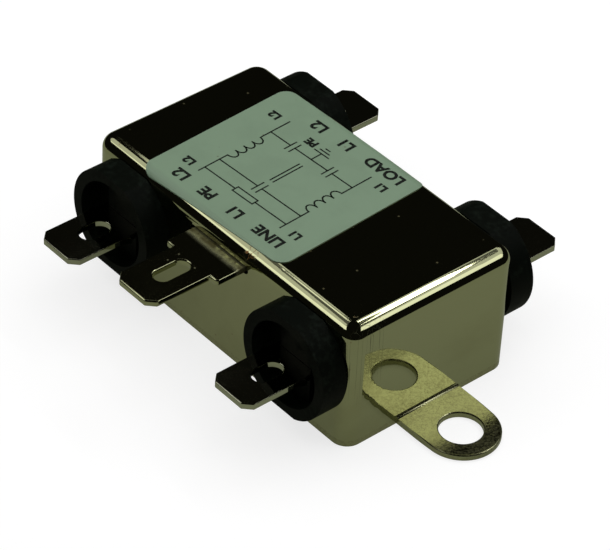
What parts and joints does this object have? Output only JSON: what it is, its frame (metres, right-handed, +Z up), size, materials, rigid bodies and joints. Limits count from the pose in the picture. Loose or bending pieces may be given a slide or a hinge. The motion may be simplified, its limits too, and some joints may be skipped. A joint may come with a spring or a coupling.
{
  "type": "emi line filter",
  "caption": "Compact line filter: bright drawn-steel can on a base plate with mounting ears, black bushings with quick-connect blades, a ground tab and a bare label.",
  "frame": {"origin": "midway between the two mounting holes, on the mounting face", "axes": "+Z up out of the chassis, +X along the can through both mounting holes, -Y towards the supply side with the ground tab"},
  "size_m": [0.064, 0.047, 0.0165],
  "materials": {
    "bright_plate": "drawn steel with bright nickel plate, mirror-like",
    "label_film": "satin label film, pale grey-green, bare",
    "black_plastic": "moulded, fine satin",
    "tinned_blade": "brass with bright tin plate",
    "liner_sheet": "insulating sheet",
    "foam_pad": "soft pad",
    "ferrite": "coated ferrite",
    "ivory_plastic": "moulded",
    "copper_enamel": "enamelled copper wire",
    "box_plastic": "moulded box",
    "tinned_wire": "tinned copper wire",
    "disc_coating": "dipped coating",
    "resistor_body": "lacquered body"
  },
  "bodies": {
    "root": {"can": "bright_plate", "base_plate": "bright_plate", "label": "label_film", "bushing_line_1": "black_plastic", "bushing_line_2": "black_plastic", "bushing_load_1": "black_plastic", "bushing_load_2": "black_plastic", "terminal_line_1": "tinned_blade", "terminal_line_2": "tinned_blade", "terminal_load_1": "tinned_blade", "terminal_load_2": "tinned_blade", "ground_tab": "tinned_blade", "base_liner": "liner_sheet", "choke_pad": "foam_pad", "choke_core": "ferrite", "choke_divider": "ivory_plastic", "winding_1": "copper_enamel", "winding_2": "copper_enamel", "x_capacitor": "box_plastic", "x_capacitor_leads": "tinned_wire", "y_capacitor_1": "disc_coating", "y_capacitor_1_leads": "tinned_wire", "y_capacitor_2": "disc_coating", "y_capacitor_2_leads": "tinned_wire", "bleed_resistor": "resistor_body", "bleed_resistor_leads": "tinned_wire"}
  },
  "joints": []
}
